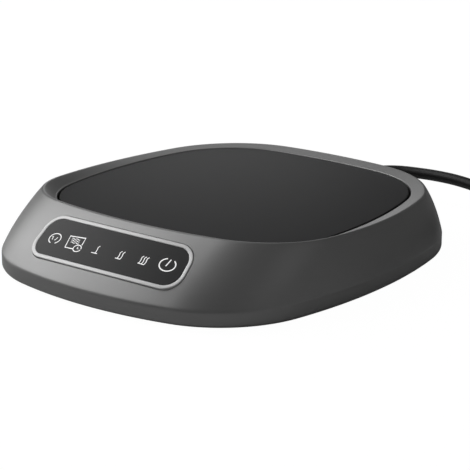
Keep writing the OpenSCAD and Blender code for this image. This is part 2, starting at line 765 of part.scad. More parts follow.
// flat coil of 8 loops in two layers: in below, out above
coil_r = 29.5;
coil_step = cord_d + 0.55;
layer_turns = 3.75;
loop_rings = 24;
coil_at = [74, sleeve_end + 13.5 + coil_r];
function coil_radius(t) = t < layer_turns + 0.25
    ? coil_r - coil_step * t
    : coil_r - coil_step * (2 * layer_turns + 0.5 - t);
function coil_z(t) = table + coil_step * min(1, max(0, (t - layer_turns) * 2));
coil_turns = 2 * layer_turns + 0.5;
coil_mid = [for (i = [0:coil_turns * loop_rings])
    let (t = i / loop_rings, a = 360 * t - 90, r = coil_radius(t))
    [coil_at[0] + r * cos(a), coil_at[1] + r * sin(a), coil_z(t)]];
coil_path = concat([coil_mid[0] - [cord_d, 0, 0]], coil_mid,
    [coil_mid[len(coil_mid) - 1] + [cord_d, 0, 0]]);
// least distance between turns, less the cord
coil_gap = min([for (i = [0:3:len(coil_mid) - 1], j = [i + 12:len(coil_mid) - 1])
    norm(coil_mid[i] - coil_mid[j])]) - cord_d;
echo(coil_gap = coil_gap);

first_path = concat(cord_path, [coil_path[0] - [cord_d, 0, 0], coil_path[0]]);
tail_start = coil_path[len(coil_path) - 1];
plug_z = 4;
tail_r = 15;                             // the tail turns towards the front
tail_path = concat([tail_start], [for (a = [90:-15:0])
    tail_start + [cord_d + tail_r * cos(a), tail_r * sin(a) - tail_r,
        (plug_z - tail_start[2]) * (90 - a) / 90]],
    [tail_start + [cord_d + tail_r, -tail_r - cord_d, plug_z - tail_start[2]]]);
plug_at = tail_path[len(tail_path) - 1];

module power_cord() color("#141415")
    tube(first_path, cord_d, 8);
module cord_coil() color("#141415")
    tube(coil_path, cord_d, 6);
module cord_tail() color("#141415")
    tube(tail_path, cord_d, 8);
plug_l = 26;
shell_l = 18.7;
module at_plug() {
    translate(plug_at)
        rotate([90, 0, 0])
            children();
}
module plug_body() color("#161617")
    at_plug() {
        cylinder(d1 = cord_d + 1, d2 = 7, h = 6 + EPS, $fn = 32);
        translate([0, 0, 6])
            linear_extrude(plug_l - 6)
                pill(15.6, 8, 2.4);
    }
module plug_shell() color("#c4c7cb")
    at_plug()
        translate([0, 0, plug_l])
            difference() {
                linear_extrude(shell_l)
                    difference() {
                        pill(12, 4.5, 0.6);
                        pill(11.4, 3.9, 0.4);
                    }
                for (sx = [-1, 1])
                    translate([sx * 2.6 - 1.25, -4, shell_l - 8.5])
                        cube([2.5, 8, 2.5]);
            }
module plug_contacts() color("#e9e6da")
    at_plug()
        translate([0, 0, plug_l]) {
            translate([-5.4, -1.85, 0])
                cube([10.8, 1.8, shell_l - 1]);
            for (i = [-1.5:1:1.5])
                translate([i * 2.3 - 0.5, -0.05 - EPS, 1])
                    cube([1, 0.15, shell_l - 3]);
        }

upper_housing();
base_cover();
rubber_feet();
base_screws();
glass_plate();
glass_seal();
heat_spreader();
film_heater();
insulation_pad();
heater_retainer();
retainer_screws();
temperature_sensor();
thermal_fuse();
control_bezel();
touch_lens();
light_box();
touch_springs();
indicator_leds();
control_board();
touch_chip();
control_board_screws();
power_board();
power_board_screws();
power_transistors();
smoothing_capacitor();
power_inductor();
wire_connectors();
buzzer();
ribbon_cable();
heater_leads();
supply_leads();
cord_clamp();
clamp_screws();
strain_relief();
power_cord();
cord_coil();
cord_tail();
plug_body();
plug_shell();
plug_contacts();
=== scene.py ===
"""Looks of an electric mug warmer: matt grey flared housing, black glass plate, touch panel
in a silver frame, and a thin black cord. Metres, +Z up, front towards -Y."""

import bpy
import bmesh
import math
from mathutils import Matrix, Vector


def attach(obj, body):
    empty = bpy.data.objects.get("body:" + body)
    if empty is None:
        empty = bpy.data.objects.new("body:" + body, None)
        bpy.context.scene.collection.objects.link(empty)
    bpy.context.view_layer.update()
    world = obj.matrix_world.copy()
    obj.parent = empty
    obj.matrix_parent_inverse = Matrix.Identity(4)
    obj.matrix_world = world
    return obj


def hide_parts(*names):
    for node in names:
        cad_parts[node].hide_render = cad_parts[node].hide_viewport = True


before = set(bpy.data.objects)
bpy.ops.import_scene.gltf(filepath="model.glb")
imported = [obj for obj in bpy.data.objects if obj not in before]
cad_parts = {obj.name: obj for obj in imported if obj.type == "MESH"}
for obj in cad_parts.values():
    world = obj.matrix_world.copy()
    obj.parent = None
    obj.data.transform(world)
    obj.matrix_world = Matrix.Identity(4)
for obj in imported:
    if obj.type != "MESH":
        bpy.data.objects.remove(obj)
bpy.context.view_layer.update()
MM = 0.001
scene = bpy.context.scene


# ---------------------------------------------------------------- colours and nodes
def hex_colour(code):
    """sRGB hex to the linear colour that the shaders take."""
    parts = [int(code[i:i + 2], 16) / 255 for i in (1, 3, 5)]
    return [c / 12.92 if c <= 0.04045 else ((c + 0.055) / 1.055) ** 2.4 for c in parts] + [1.0]


def add(tree, kind, settings=None, inputs=None):
    """One node: its properties from settings, its sockets from inputs, values or links."""
    node = tree.nodes.new(kind)
    for key, value in (settings or {}).items():
        setattr(node, key, value)
    for key, value in (inputs or {}).items():
        socket = node.inputs[key]
        if isinstance(value, bpy.types.NodeSocket):
            tree.links.new(value, socket)
        else:
            socket.default_value = value
    return node


def new_finish(name):
    """An empty material, its node tree and its surface shader."""
    mat = bpy.data.materials.new(name)
    mat.use_nodes = True
    tree = mat.node_tree
    return mat, tree, tree.nodes["Principled BSDF"]


def finish(name, colour, roughness, grain_mm=None, grain_depth=0.0, tint=None, tint_mm=8.0,
           **sockets):
    """A finish: fine bumps of grain_mm, and a slow drift of the colour over tint_mm."""
    mat, tree, shader = new_finish(name)
    shader.inputs["Base Color"].default_value = hex_colour(colour)
    shader.inputs["Roughness"].default_value = roughness
    for key, value in sockets.items():
        shader.inputs[key.replace("_", " ")].default_value = value
    place = add(tree, "ShaderNodeTexCoord").outputs["Object"]
    if tint:
        drift = add(tree, "ShaderNodeTexNoise", inputs={
            "Vector": place, "Scale": 1000 / tint_mm, "Detail": 3.0}).outputs["Fac"]
        ramp = add(tree, "ShaderNodeMapRange", inputs={
            "Value": drift, "From Min": 0.35, "From Max": 0.65}).outputs["Result"]
        blend = add(tree, "ShaderNodeMix", {"data_type": "RGBA"}, {
            0: ramp, 6: hex_colour(colour), 7: hex_colour(tint)})
        tree.links.new(blend.outputs[2], shader.inputs["Base Color"])
    if grain_mm:
        grain = add(tree, "ShaderNodeTexNoise", inputs={
            "Vector": place, "Scale": 1000 / grain_mm, "Detail": 2.0}).outputs["Fac"]
        bump = add(tree, "ShaderNodeBump", inputs={
            "Height": grain, "Distance": grain_depth * MM, "Strength": 1.0})
        tree.links.new(bump.outputs["Normal"], shader.inputs["Normal"])
    return mat


# ---------------------------------------------------------------- camera, fitted to the photo
SENSOR_MM = 36.0
FOCAL_PX, PICTURE_PX = 2000.0, 470
CAMERA_AT = (0.371203, -0.468868, 0.195493)
LOOKS_DOWN, LOOKS_LEFT = 17.54, 38.1

camera_data = bpy.data.cameras.new("studio_camera")
camera_data.sensor_width = SENSOR_MM
camera_data.lens = FOCAL_PX / PICTURE_PX * SENSOR_MM
camera_data.clip_start = 0.01
camera_data.clip_end = 50.0
camera = bpy.data.objects.new("studio_camera", camera_data)
camera.location = CAMERA_AT
camera.rotation_euler = (math.radians(90 - LOOKS_DOWN), 0.0, math.radians(LOOKS_LEFT))
scene.collection.objects.link(camera)
scene.camera = camera


# ---------------------------------------------------------------- sizes in mm
# They are the CAD's, but the shoulder (Z_SKIRT) is lower and the panel's frame (BEZEL_W) wider,
# closer to the photograph.
Z_BOTTOM, Z_SKIRT, Z_GLASS, Z_UNDER, Z_LEDGE, Z_LEDGE_LOW = 1.0, 5.2, 18.7, 15.7, 15.2, 13.4
WALL = 2.0
FLARE_BOW = 0.64
RING_W = 4.3
# the crest's height above the glass at y = 0, its fall and its bow over CREST_SPAN towards the back
CREST_RISE, CREST_TILT, CREST_BOW, CREST_SPAN = 1.4, 1.8, 1.0, 50
# plan curves: half width and side radius; front, its radius and its corner; the same at the back
WIDE = [59.2, 164, 66, 131, 35.3, 66, 167, 40]
WELL = [50, 127, 41.7, 142, 24.2, 55.6, 174, 30.7]
# the crest runs RING_W outside the well, and BACK_EXTRA further at the back (values 5 and 6)
BACK_EXTRA = 1
CREST = [v + RING_W + (BACK_EXTRA if i in (5, 6) else 0) for i, v in enumerate(WELL)]
# the panel: its slope, its middle, and the radius of the front face along it
SLOPE = math.atan2(15.502, 20.0)
PANEL_AT = (0, -55.594 * MM, 15.626 * MM)
PANEL = Matrix.Translation(PANEL_AT) @ Matrix.Rotation(SLOPE, 4, "X")
PANEL_R = 139 / math.sin(SLOPE)
LENS_W, LENS_H, LENS_R, BEZEL_W = 55, 13.4, 4.8, 1.36
# radius of the bow in the panel's long sides
BOW_R = 385
CORD_D = 3.8
CORD_Z = 9.2
SLEEVE_END = 75.978


def circles_meet(c1, r1, c2, r2, side):
    """One of the two points where two circles meet."""
    d = c2 - c1
    gap = d.length
    m = (r1 * r1 - r2 * r2 + gap * gap) / (2 * gap)
    h = math.sqrt(max(0.0, r1 * r1 - m * m))
    u = d / gap
    return c1 + u * m + Vector((-u.y, u.x)) * side * h


def plan_outline(shape, steps):
    """The plan curve of four long arcs and four corner arcs, anticlockwise from the front."""
    half_w, side_r, front, front_r, front_c, back, back_r, back_c = shape
    cs = Vector((half_w - side_r, 0))
    cf, cb = Vector((0, front_r - front)), Vector((0, back - back_r))
    qf = circles_meet(cs, side_r - front_c, cf, front_r - front_c, -1)
    qb = circles_meet(cs, side_r - back_c, cb, back_r - back_c, 1)

    def bearing(p, c):
        return math.atan2(p.y - c.y, p.x - c.x)

    spans = [(cf, front_r, -math.pi / 2, bearing(qf, cf)),
             (qf, front_c, bearing(qf, cf), bearing(qf, cs)),
             (cs, side_r, bearing(qf, cs), bearing(qb, cs)),
             (qb, back_c, bearing(qb, cs), bearing(qb, cb)),
             (cb, back_r, bearing(qb, cb), math.pi / 2)]
    half = [(c.x + r * math.cos(a0 + (a1 - a0) * i / n), c.y + r * math.sin(a0 + (a1 - a0) * i / n))
            for (c, r, a0, a1), n in zip(spans, steps) for i in range(n)]
    half.append((0.0, back))
    return half + [(-x, y) for x, y in reversed(half[1:-1])]


# points on the five arcs of the plan's half
FINE = (24, 44, 36, 44, 24)


# ---------------------------------------------------------------- mesh helpers
def mesh_object(name, points, edges=(), faces=()):
    """A linked object with that mesh; points in metres."""
    mesh = bpy.data.meshes.new(name)
    mesh.from_pydata(points, edges, faces)
    obj = bpy.data.objects.new(name, mesh)
    scene.collection.objects.link(obj)
    return obj


def in_metres(points):
    """Points in mm as vectors in metres."""
    return [Vector(p) * MM for p in points]


def mesh_piece(name, verts, faces, matrix=None):
    """A piece from points in mm, moved by the matrix."""
    obj = mesh_object(name, in_metres(verts), faces=faces)
    if matrix is not None:
        obj.data.transform(matrix)
    return obj


def tube_faces(rings, sides):
    """Closed skin over rings of points, one after the other, with flat ends."""
    faces = [(j * sides + k, j * sides + (k + 1) % sides,
              (j + 1) * sides + (k + 1) % sides, (j + 1) * sides + k)
             for j in range(rings - 1) for k in range(sides)]
    return faces + [tuple(reversed(range(sides))), tuple(range((rings - 1) * sides, rings * sides))]


def tidy_mesh(obj, sharp_deg=35.0, merge_mm=0.001):
    """Merge doubles, point the faces outwards, smooth all but the sharp edges."""
    bm = bmesh.new()
    bm.from_mesh(obj.data)
    bmesh.ops.remove_doubles(bm, verts=bm.verts, dist=merge_mm * MM)
    bmesh.ops.recalc_face_normals(bm, faces=bm.faces)
    bm.to_mesh(obj.data)
    bm.free()
    obj.data.shade_smooth()
    obj.data.set_sharp_from_angle(angle=math.radians(sharp_deg))


def baked(obj):
    """The object's modifiers turned into a plain mesh, and the modifiers gone."""
    graph = bpy.context.evaluated_depsgraph_get()
    mesh = bpy.data.meshes.new_from_object(obj.evaluated_get(graph))
    obj.modifiers.clear()
    old = obj.data
    obj.data = mesh
    if old.users == 0:
        bpy.data.meshes.remove(old)
    return obj


def dress(obj, material, replaces=()):
    """The piece's finish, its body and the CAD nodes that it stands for."""
    obj.data.materials.clear()
    obj.data.materials.append(material)
    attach(obj, "root")
    if replaces:
        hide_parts(*replaces)


def tree_object(name, tree, values):
    """An object whose mesh is made by a node tree; values go to the tree's named inputs."""
    obj = bpy.data.objects.new(name, bpy.data.meshes.new(name))
    scene.collection.objects.link(obj)
    mod = obj.modifiers.new("build", "NODES")
    mod.node_group = tree
    for item in tree.interface.items_tree:
        if item.item_type == "SOCKET" and item.in_out == "INPUT" and item.name in values:
            mod[item.identifier] = values[item.name]
    return baked(obj)


def new_tree(name, inputs):
    """A node tree with those inputs, its input sockets and its result's socket."""
    tree = bpy.data.node_groups.new(name, "GeometryNodeTree")
    for label, kind in inputs:
        tree.interface.new_socket(label, in_out="INPUT", socket_type=kind)
    tree.interface.new_socket("Geometry", in_out="OUTPUT", socket_type="NodeSocketGeometry")
    return tree, add(tree, "NodeGroupInput").outputs, add(tree, "NodeGroupOutput").inputs[0]


# ---------------------------------------------------------------- finishes
# Moulded ABS with a fine spark-eroded grain: matt, soft wide highlight, no mirror image.
housing_abs = finish("moulded_grey_abs", "#8B8B8B", 0.42, grain_mm=0.35, grain_depth=0.006,
                     tint="#898989", tint_mm=26, Metallic=0.7)
# Same moulding in the darker tone of the underside.
cover_abs = finish("moulded_dark_abs", "#3C3D3F", 0.55, grain_mm=0.4, grain_depth=0.008,
                   tint="#393A3C", tint_mm=14)
# Ceramic glass, black through, satin etched so that it shows a soft even sheen.
plate_glass = finish("etched_black_ceramic_glass", "#2B2B2C", 0.55, tint="#2A2A2B", tint_mm=30,
                     IOR=1.52, Specular_IOR_Level=0.16)
# Satin nickel plating over moulded plastic: bright, slightly milky reflections.
bezel_nickel = finish("satin_nickel_plating", "#CACACA", 0.5, grain_mm=0.5, grain_depth=0.001,
                      tint="#C7C7C7", tint_mm=6, Metallic=0.6)
# Smoked acrylic, hard coated: dark and smooth.
lens_acrylic = finish("smoked_acrylic", "#232324", 0.38, tint="#222223", tint_mm=20,
                      Specular_IOR_Level=0.22)
# Screen print on the lens, light grey, with a painted glow: the ink gives off a little light of its
# own, as a backlight would.
sign_ink = finish("screen_print_ink_painted_glow", "#DEDEDE", 0.6, tint="#D8D8D8", tint_mm=1.2,
                  Emission_Color=hex_colour("#FFFFFF"), Emission_Strength=0.6)
# Soft PVC cord jacket, extruded: slight sheen along the length.
cord_pvc = finish("extruded_pvc", "#1A1A1B", 0.42, grain_mm=0.5, grain_depth=0.01,
                  tint="#171718", tint_mm=5)
# Overmoulded TPE of sleeve and plug, a little duller than the cord.
moulded_tpe = finish("overmoulded_tpe", "#1C1C1D", 0.55, grain_mm=0.3, grain_depth=0.008,
                     tint="#19191A", tint_mm=4)
# Silicone rubber, dusty matt.
foot_silicone = finish("silicone_rubber", "#1D1D1E", 0.75, grain_mm=0.25, grain_depth=0.01,
                       tint="#222223", tint_mm=3)
# Zinc plated steel screws: fine turned surface.
zinc_steel = finish("zinc_plated_steel", "#A9ABAE", 0.35, grain_mm=0.2, grain_depth=0.003,
                    tint="#9DA0A4", tint_mm=1.5, Metallic=1.0)
# Nickel plated plug shell, drawn sheet.
plug_nickel = finish("nickel_plated_sheet", "#C9CBCE", 0.25, grain_mm=0.6, grain_depth=0.002,
                     tint="#BFC1C5", tint_mm=4, Metallic=1.0)
# Rolled sheets and drawn cans: soft metal sheen with a fine grain.
rolled_aluminium = finish("rolled_aluminium", "#D4D6D9", 0.38, grain_mm=0.3, grain_depth=0.004,
                          tint="#C6C8CC", tint_mm=5, Metallic=1.0)
sheet_steel = finish("cold_rolled_steel", "#B4B6B8", 0.42, grain_mm=0.3, grain_depth=0.004,
                     tint="#A6A8AB", tint_mm=6, Metallic=1.0)
# Polyimide heater film over etched foil tracks.
heater_film = finish("polyimide_film", "#B5701E", 0.28, tint="#8E4F16", tint_mm=2.0)
# Needle felt: short fibres.
needle_felt = finish("needle_felt", "#CFC9BA", 0.95, grain_mm=0.6, grain_depth=0.12,
                     tint="#BDB6A6", tint_mm=2.5)
# Epoxy glass board under green solder mask, and the resins, plastics and wires on it.
solder_mask = finish("green_solder_mask", "#1F5B3A", 0.3, grain_mm=0.4, grain_depth=0.005,
                     tint="#2A6E48", tint_mm=1.8)
chip_resin = finish("moulded_epoxy", "#232324", 0.6, grain_mm=0.2, grain_depth=0.006,
                    tint="#29292A", tint_mm=1.0)
can_aluminium = finish("anodised_can", "#C7CACE", 0.3, tint="#B9BCC1", tint_mm=1.5, Metallic=1.0)
natural_nylon = finish("natural_nylon", "#E4E0D0", 0.5, grain_mm=0.3, grain_depth=0.005,
                       tint="#D8D3C0", tint_mm=3)
white_abs = finish("white_abs", "#ECECE8", 0.5, grain_mm=0.3, grain_depth=0.004,
                   tint="#E3E3DE", tint_mm=6)
spring_bronze = finish("phosphor_bronze_wire", "#C79A56", 0.3, tint="#B4843F", tint_mm=1.0,
                       Metallic=1.0)
led_resin = finish("clear_led_resin", "#EFEBC9", 0.2, tint="#E6E0B6", tint_mm=0.8)
sensor_resin = finish("dipped_epoxy", "#2E7D4F", 0.25, tint="#276B44", tint_mm=1.2)
fuse_ceramic = finish("glazed_ceramic", "#D6D0BC", 0.22, tint="#C9C2AB", tint_mm=1.5)
ribbon_vinyl = finish("grey_ribbon_vinyl", "#D5D5D2", 0.5, tint="#C8C8C4", tint_mm=1.27)
lead_silicone = finish("red_silicone_sleeve", "#A52A2A", 0.5, tint="#8F2020", tint_mm=1.0)


# ---------------------------------------------------------------- cord
def smooth_path(points, per_span):
    """Catmull-Rom curve through the points."""
    out = []
    for i in range(len(points) - 1):
        p0, p1 = points[max(i - 1, 0)], points[i]
        p2, p3 = points[i + 1], points[min(i + 2, len(points) - 1)]
        for k in range(per_span):
            t = k / per_span
            out.append(p1 + (p2 - p0) * 0.5 * t
                       + (p0 * 2 - p1 * 5 + p2 * 4 - p3) * 0.5 * t * t
                       + (p1 * 3 - p0 - p2 * 3 + p3) * 0.5 * t ** 3)
    return out + [points[-1]]


def cord_route():
    """The cord's middle line: free on the table, then the coil, then the tail to the plug."""
    free = [Vector((x, y + SLEEVE_END, z + CORD_Z)) for x, y, z in [
        (0, 0, 0), (0, 2, 0), (1, 5.5, 0), (3.5, 9, 0), (7.5, 11.5, 0), (13, 13, 0), (20, 14, 0),
        (28, 14.5, -0.3), (36, 14.5, -1.2), (45, 14, -3), (54, 13.5, -5.4), (61, 13.5, -6.9)]]
    # flat coil in two layers: wound in below, out above
    middle, outer_r = Vector((74, SLEEVE_END + 43, 0)), 29.5
    layer, pitch, rings = 3.75, CORD_D + 0.55, 48
    turns = 2 * layer + 0.5
    coil = []
    for i in range(int(turns * rings) + 1):
        t = i / rings
        r = outer_r - pitch * (t if t < layer + 0.25 else turns - t)
        a = 2 * math.pi * t - math.pi / 2
        z = CORD_D / 2 + pitch * min(1.0, max(0.0, (t - layer) * 2))
        coil.append(middle + Vector((r * math.cos(a), r * math.sin(a), z)))
    start, end = coil[0] - Vector((CORD_D, 0, 0)), coil[-1] + Vector((CORD_D, 0, 0))
    # the tail turns towards the front, down to the plug's height
    tail_r, plug_z = 15, 4
    drop = plug_z - end.z
    tail = [end + Vector((CORD_D + tail_r * math.cos(a), tail_r * math.sin(a) - tail_r,
                          drop * (1 - a / (math.pi / 2)))) for a in
            (math.pi / 2 * (1 - k / 6) for k in range(7))]
    tail.append(end + Vector((CORD_D + tail_r, -tail_r - CORD_D, drop)))
    first = smooth_path(free + [start - Vector((CORD_D, 0, 0)), start], 8)
    return first[:-1] + [start] + coil + [end] + smooth_path([end] + tail, 8)[1:]


route = cord_route()


def sweep_tube(name, points, radius, sides):
    """Round tube along the points, with flat ends; rings turn as little as they can."""
    verts = []
    side = Vector((1, 0, 0))
    for i, p in enumerate(points):
        ahead = (points[min(i + 1, len(points) - 1)] - points[max(i - 1, 0)]).normalized()
        side = (side - ahead * side.dot(ahead)).normalized()
        other = ahead.cross(side)
        for k in range(sides):
            a = 2 * math.pi * k / sides
            verts.append(p + (side * math.cos(a) + other * math.sin(a)) * radius)
    return mesh_piece(name, verts, tube_faces(len(points), sides))


supply_cord = sweep_tube("supply_cord", route, CORD_D / 2, 20)
tidy_mesh(supply_cord, 50)
dress(supply_cord, cord_pvc, replaces=("power_cord", "cord_coil", "cord_tail"))


# ---------------------------------------------------------------- housing, lofted round the plan
def outward_of(pts):
    """The outward direction at each point of a closed anticlockwise curve."""
    along = [(pts[(i + 1) % len(pts)] - pts[i - 1]).normalized() for i in range(len(pts))]
    return [Vector((d.y, -d.x)) for d in along]


def outline_object(name, shape):
    """The plan curve as loose points that carry their outward direction."""
    pts = [Vector(p) for p in plan_outline(shape, FINE)]
    obj = mesh_object(name, [(p.x * MM, p.y * MM, 0) for p in pts])
    out = obj.data.attributes.new("outward", "FLOAT_VECTOR", "POINT")
    for i, d in enumerate(outward_of(pts)):
        out.data[i].vector = (d.x, d.y, 0)
    return obj


def section_object(name, rows):
    """The wall's section. A row is shares of the wide, crest and well curves, then the outset,
    the height and the share of the crest's own height."""
    obj = mesh_object(name, [(0, 0, i * MM) for i in range(len(rows))])
    obj.data.attributes.new("share", "FLOAT_VECTOR", "POINT")
    obj.data.attributes.new("rise", "FLOAT_VECTOR", "POINT")
    share, rise = obj.data.attributes["share"], obj.data.attributes["rise"]
    for i, row in enumerate(rows):
        share.data[i].vector = row[:3]
        rise.data[i].vector = (row[3] * MM, row[4] * MM, row[5])
    return obj


def blend_rows(a, b, t):
    """The row at share t of the way from a to b."""
    return tuple(x * (1 - t) + y * t for x, y in zip(a, b))


def bend_rows(a, b, c, count):
    """Round between two straight runs, as a quadratic curve."""
    return [blend_rows(blend_rows(a, b, i / count), blend_rows(b, c, i / count), i / count)
            for i in range(count + 1)]


EDGE_TILT = 0.15
SHOULDER_BULGE, SHOULDER_REACH = 0.34, 0.04
BASE_ROUND = 1.2
LIP_W, LIP_UP = 0.42, 0.06
LEDGE_W = 3


def edge_row(down=0.0):
    """The shoulder: it rises a little towards the front, as the crest does."""
    return (1, 0, 0, 0, Z_SKIRT - EDGE_TILT * (Z_GLASS + CREST_RISE) - down, EDGE_TILT)


def flare_row(t, outset=0.0, drop=0.0):
    """The flare at share t of the way from the shoulder to the crest. It is full just above the
    shoulder, and again two thirds of the way up, where 6.75 makes t * t * (1 - t) one. The lean
    keeps the front flat for the panel."""
    bulge = SHOULDER_BULGE * (1 - math.exp(-t / SHOULDER_REACH))
    full = (1 - t) * (6.75 * FLARE_BOW * t * t + bulge)
    lean = 1.5 * t * t * (1 - t) ** 4
    edge = edge_row()
    return (1 - t + lean, t - lean, 0, full + outset,
            (1 - t) * edge[4] + drop, t + (1 - t) * edge[5])


def housing_section():
    """Once round the wall: base, skirt, flare, crest, ring, lip, well, ledge, and back inside."""
    rows = [(1, 0, 0, -WALL, Z_BOTTOM, 0), (1, 0, 0, -BASE_ROUND, Z_BOTTOM, 0)]
    rows += [(1, 0, 0, -BASE_ROUND + BASE_ROUND * math.sin(a),
              Z_BOTTOM + BASE_ROUND - BASE_ROUND * math.cos(a), 0)
             for a in (math.pi / 2 * k / 7 for k in range(1, 8))]
    rows += [(1, 0, 0, 0, z, 0) for z in (3.2, 4.2)]
    rows += bend_rows(edge_row(0.6), edge_row(), flare_row(0.03), 8)
    rows += [flare_row(t) for t in (0.05, 0.07, 0.095, 0.125, 0.16)]
    rows += [flare_row(0.16 + 0.8 * k / 16) for k in range(1, 17)]
    crest, lip = (0, 1, 0, 0, 0, 1), (0, 0, 1, LIP_W, Z_GLASS + LIP_UP, 0)
    rows += bend_rows(flare_row(0.965), crest, blend_rows(crest, lip, 0.17), 9)
    rows += [blend_rows(crest, lip, s) for s in (0.32, 0.46, 0.6, 0.74, 0.87, 0.96)]
    rows += bend_rows(lip, (0, 0, 1, 0.06, Z_GLASS + 0.04, 0), (0, 0, 1, 0, Z_GLASS - 0.36, 0), 6)
    rows += [(0, 0, 1, 0, Z_LEDGE, 0), (0, 0, 1, -LEDGE_W, Z_LEDGE, 0),
             (0, 0, 1, -LEDGE_W, Z_LEDGE_LOW, 0), (0, 0, 1, 1.2, Z_LEDGE_LOW, 0),
             (0, 1, 0, -RING_W / 2, -WALL - 0.8, 1)]
    rows += [flare_row(0.55, -0.8 * WALL, -0.7 * WALL), flare_row(0.2, -0.85 * WALL, -0.6 * WALL),
             (1, 0, 0, -WALL, Z_SKIRT - 1, 0)]
    return rows


def object_mesh(tree, source):
    """The mesh of the object that an input names."""
    return add(tree, "GeometryNodeObjectInfo", inputs={"Object": source}).outputs["Geometry"]


def give_result(tree, geometry, material, result):
    """The tree's last steps: real geometry in its finish."""
    real = add(tree, "GeometryNodeRealizeInstances", inputs={0: geometry}).outputs[0]
    dressed = add(tree, "GeometryNodeSetMaterial", inputs={
        "Geometry": real, "Material": material}).outputs[0]
    tree.links.new(dressed, result)


def loft_tree():
    """Grid whose columns run round the plan and whose rows run along the section."""
    tree, given, result = new_tree("loft_round_plan", [
        ("Wide", "NodeSocketObject"), ("Crest", "NodeSocketObject"), ("Well", "NodeSocketObject"),
        ("Section", "NodeSocketObject"), ("Columns", "NodeSocketInt"), ("Rows", "NodeSocketInt"),
        ("Plate height", "NodeSocketFloat"), ("Crest rise", "NodeSocketFloat"),
        ("Crest tilt", "NodeSocketFloat"), ("Crest bow", "NodeSocketFloat"),
        ("Finish", "NodeSocketMaterial")])

    def maths(how, a, b=None):
        values = {0: a} if b is None else {0: a, 1: b}
        return add(tree, "ShaderNodeMath", {"operation": how}, values).outputs[0]

    def plus(a, b):
        return add(tree, "ShaderNodeVectorMath", {"operation": "ADD"}, {0: a, 1: b}).outputs[0]

    def scaled(a, by):
        return add(tree, "ShaderNodeVectorMath", {"operation": "SCALE"},
                   {0: a, "Scale": by}).outputs[0]

    def split(a):
        return add(tree, "ShaderNodeSeparateXYZ", inputs={0: a}).outputs

    grid = add(tree, "GeometryNodeMeshGrid", inputs={
        "Size X": 1.0, "Size Y": 1.0,
        "Vertices X": maths("ADD", given["Columns"], 1.0),
        "Vertices Y": maths("ADD", given["Rows"], 1.0)}).outputs["Mesh"]
    index = add(tree, "GeometryNodeInputIndex").outputs[0]
    tall = maths("ADD", given["Rows"], 1.0)
    column = maths("MODULO", maths("FLOOR", maths("DIVIDE", maths("ADD", index, 0.5), tall)),
                   given["Columns"])
    row = maths("MODULO", maths("MODULO", index, tall), given["Rows"])

    def sample(source, attribute, at):
        """The attribute of that object's point with the index at."""
        geometry = object_mesh(tree, source)
        if attribute == "position":
            value = add(tree, "GeometryNodeInputPosition").outputs[0]
        else:
            value = add(tree, "GeometryNodeInputNamedAttribute", {"data_type": "FLOAT_VECTOR"},
                        {"Name": attribute}).outputs["Attribute"]
        node = add(tree, "GeometryNodeSampleIndex",
                   {"data_type": "FLOAT_VECTOR", "domain": "POINT"},
                   {"Geometry": geometry, "Index": at})
        tree.links.new(value, node.inputs["Value"])
        return node.outputs["Value"]

    share = split(sample(given["Section"], "share", row))
    rise = split(sample(given["Section"], "rise", row))
    place = None
    for k, name in enumerate(("Wide", "Crest", "Well")):
        out = scaled(sample(given[name], "outward", column), rise[0])
        part = scaled(plus(sample(given[name], "position", column), out), share[k])
        place = part if place is None else plus(place, part)
    xyz = split(place)
    depth = maths("DIVIDE", xyz[1], CREST_SPAN * MM)
    crest = maths("ADD", maths("ADD", given["Plate height"], given["Crest rise"]), maths(
        "SUBTRACT", maths("MULTIPLY", given["Crest bow"], maths("MULTIPLY", depth, depth)),
        maths("MULTIPLY", given["Crest tilt"], depth)))
    height = maths("ADD", rise[1], maths("MULTIPLY", crest, rise[2]))
    spot = add(tree, "ShaderNodeCombineXYZ", inputs={0: xyz[0], 1: xyz[1], 2: height}).outputs[0]
    moved = add(tree, "GeometryNodeSetPosition", inputs={
        "Geometry": grid, "Position": spot}).outputs[0]
    closed = add(tree, "GeometryNodeMergeByDistance", inputs={
        "Geometry": moved, "Distance": 0.002 * MM}).outputs[0]
    give_result(tree, closed, given["Finish"], result)
    return tree


plan_objects = [outline_object("plan_wide", WIDE), outline_object("plan_crest", CREST),
                outline_object("plan_well", WELL)]
COLUMNS = len(plan_objects[0].data.vertices)
loft = loft_tree()


def lofted(name, rows, material):
    """The section's rows carried once round the plan curves."""
    section = section_object(name + "_section", rows)
    obj = tree_object(name, loft, {
        "Wide": plan_objects[0], "Crest": plan_objects[1], "Well": plan_objects[2],
        "Section": section, "Columns": COLUMNS, "Rows": len(rows), "Plate height": Z_GLASS * MM,
        "Crest rise": CREST_RISE * MM, "Crest tilt": CREST_TILT * MM,
        "Crest bow": CREST_BOW * MM, "Finish": material})
    bpy.data.objects.remove(section)
    return obj


def pill(w, h, r, corner=14, run=40):
    """Outline of a rounded bar, anticlockwise, in mm, with points along its long sides too."""
    pts = []
    for cx, cy, a0 in [(w / 2 - r, h / 2 - r, 0), (-w / 2 + r, h / 2 - r, 90),
                       (-w / 2 + r, -h / 2 + r, 180), (w / 2 - r, -h / 2 + r, 270)]:
        for k in range(corner + 1):
            a = math.radians(a0 + 90 * k / corner)
            pts.append((cx + r * math.cos(a), cy + r * math.sin(a)))
    out = []
    for i, a in enumerate(pts):
        b = pts[(i + 1) % len(pts)]
        steps = max(1, round(math.dist(a, b) / (w / run)))
        out += [(a[0] + (b[0] - a[0]) * k / steps, a[1] + (b[1] - a[1]) * k / steps)
                for k in range(steps)]
    return out


def bowed(x, v):
    """The panel's long sides are bowed, its ends up the slope."""
    return ((BOW_R - v) * math.sin(x / BOW_R), BOW_R - (BOW_R - v) * math.cos(x / BOW_R))


def lens_pill(k, corner=14):
    """The lens's outline, k wider all round."""
    return [bowed(x, v) for x, v in pill(LENS_W + 2 * k, LENS_H + 2 * k, LENS_R + k, corner)]


